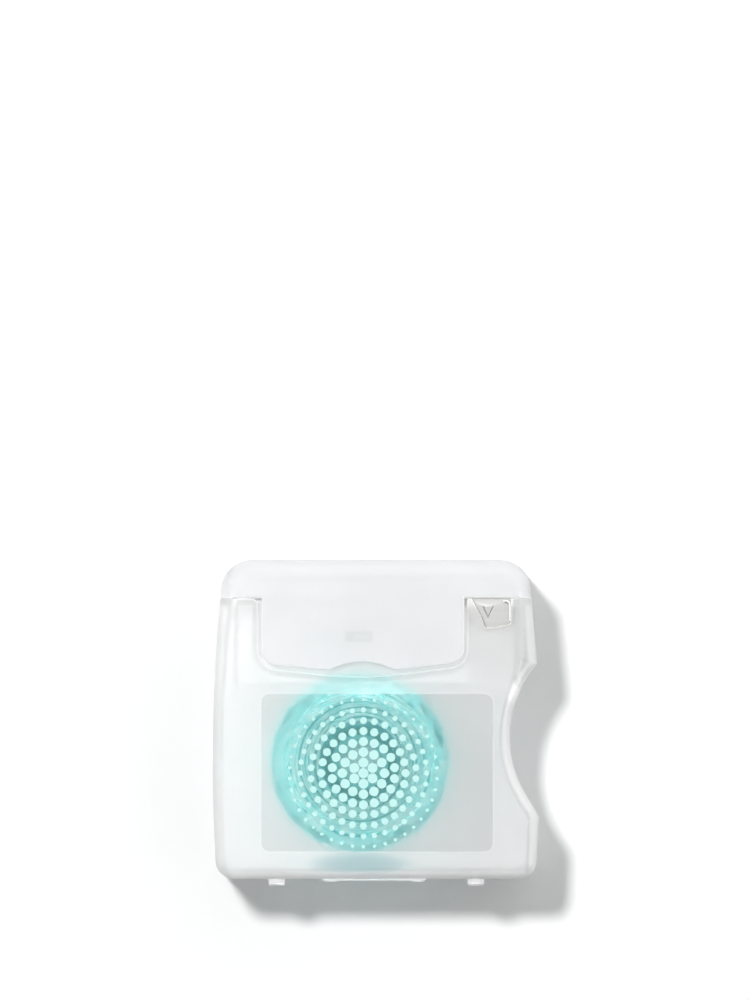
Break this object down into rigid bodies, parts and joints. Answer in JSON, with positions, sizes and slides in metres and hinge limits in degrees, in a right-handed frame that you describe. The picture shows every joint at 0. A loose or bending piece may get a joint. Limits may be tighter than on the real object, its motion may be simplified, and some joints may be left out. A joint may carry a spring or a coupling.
{
  "type": "dental floss dispenser",
  "caption": "Frosted pocket floss case with a bowed side, a finger notch, a flip lid with a latch flap, a steel cutter behind a window and a turning bobbin of wound floss.",
  "frame": {"origin": "centre of the bounding box in plan, on the back face that the case lies on", "axes": "+Z out of the front face, +Y towards the lid, +X to the finger notch"},
  "size_m": [0.0574, 0.0574, 0.019],
  "materials": {
    "case_frost": "frosted translucent polypropylene",
    "lid_frost": "frosted translucent polypropylene",
    "cutter_steel": "stamped stainless steel",
    "bobbin_plastic": "plain moulded",
    "floss_mint": "waxed multifilament",
    "label_clear": "clear film"
  },
  "bodies": {
    "case": {"back_shell": "case_frost", "front_shell": "case_frost", "bottom_hinge_left": "case_frost", "bottom_hinge_right": "case_frost", "cutter": "cutter_steel", "label_film": "label_clear"},
    "lid": {"lid": "lid_frost", "lid_hinge": "lid_frost"},
    "spool": {"bobbin_core": "bobbin_plastic", "floss_pack": "floss_mint", "floss_turns": "floss_mint"}
  },
  "joints": [
    {"name": "lid_swing", "type": "hinge", "parent": "case", "child": "lid", "pos_m": [0, 0.0283, 0.00122], "axis": [-1, 0, 0], "range_deg": [0, 90]},
    {"name": "spool_spin", "type": "hinge", "parent": "case", "child": "spool", "pos_m": [-0.00277, -0.00688, 0.009], "axis": [0, 0, 1], "continuous": true}
  ]
}
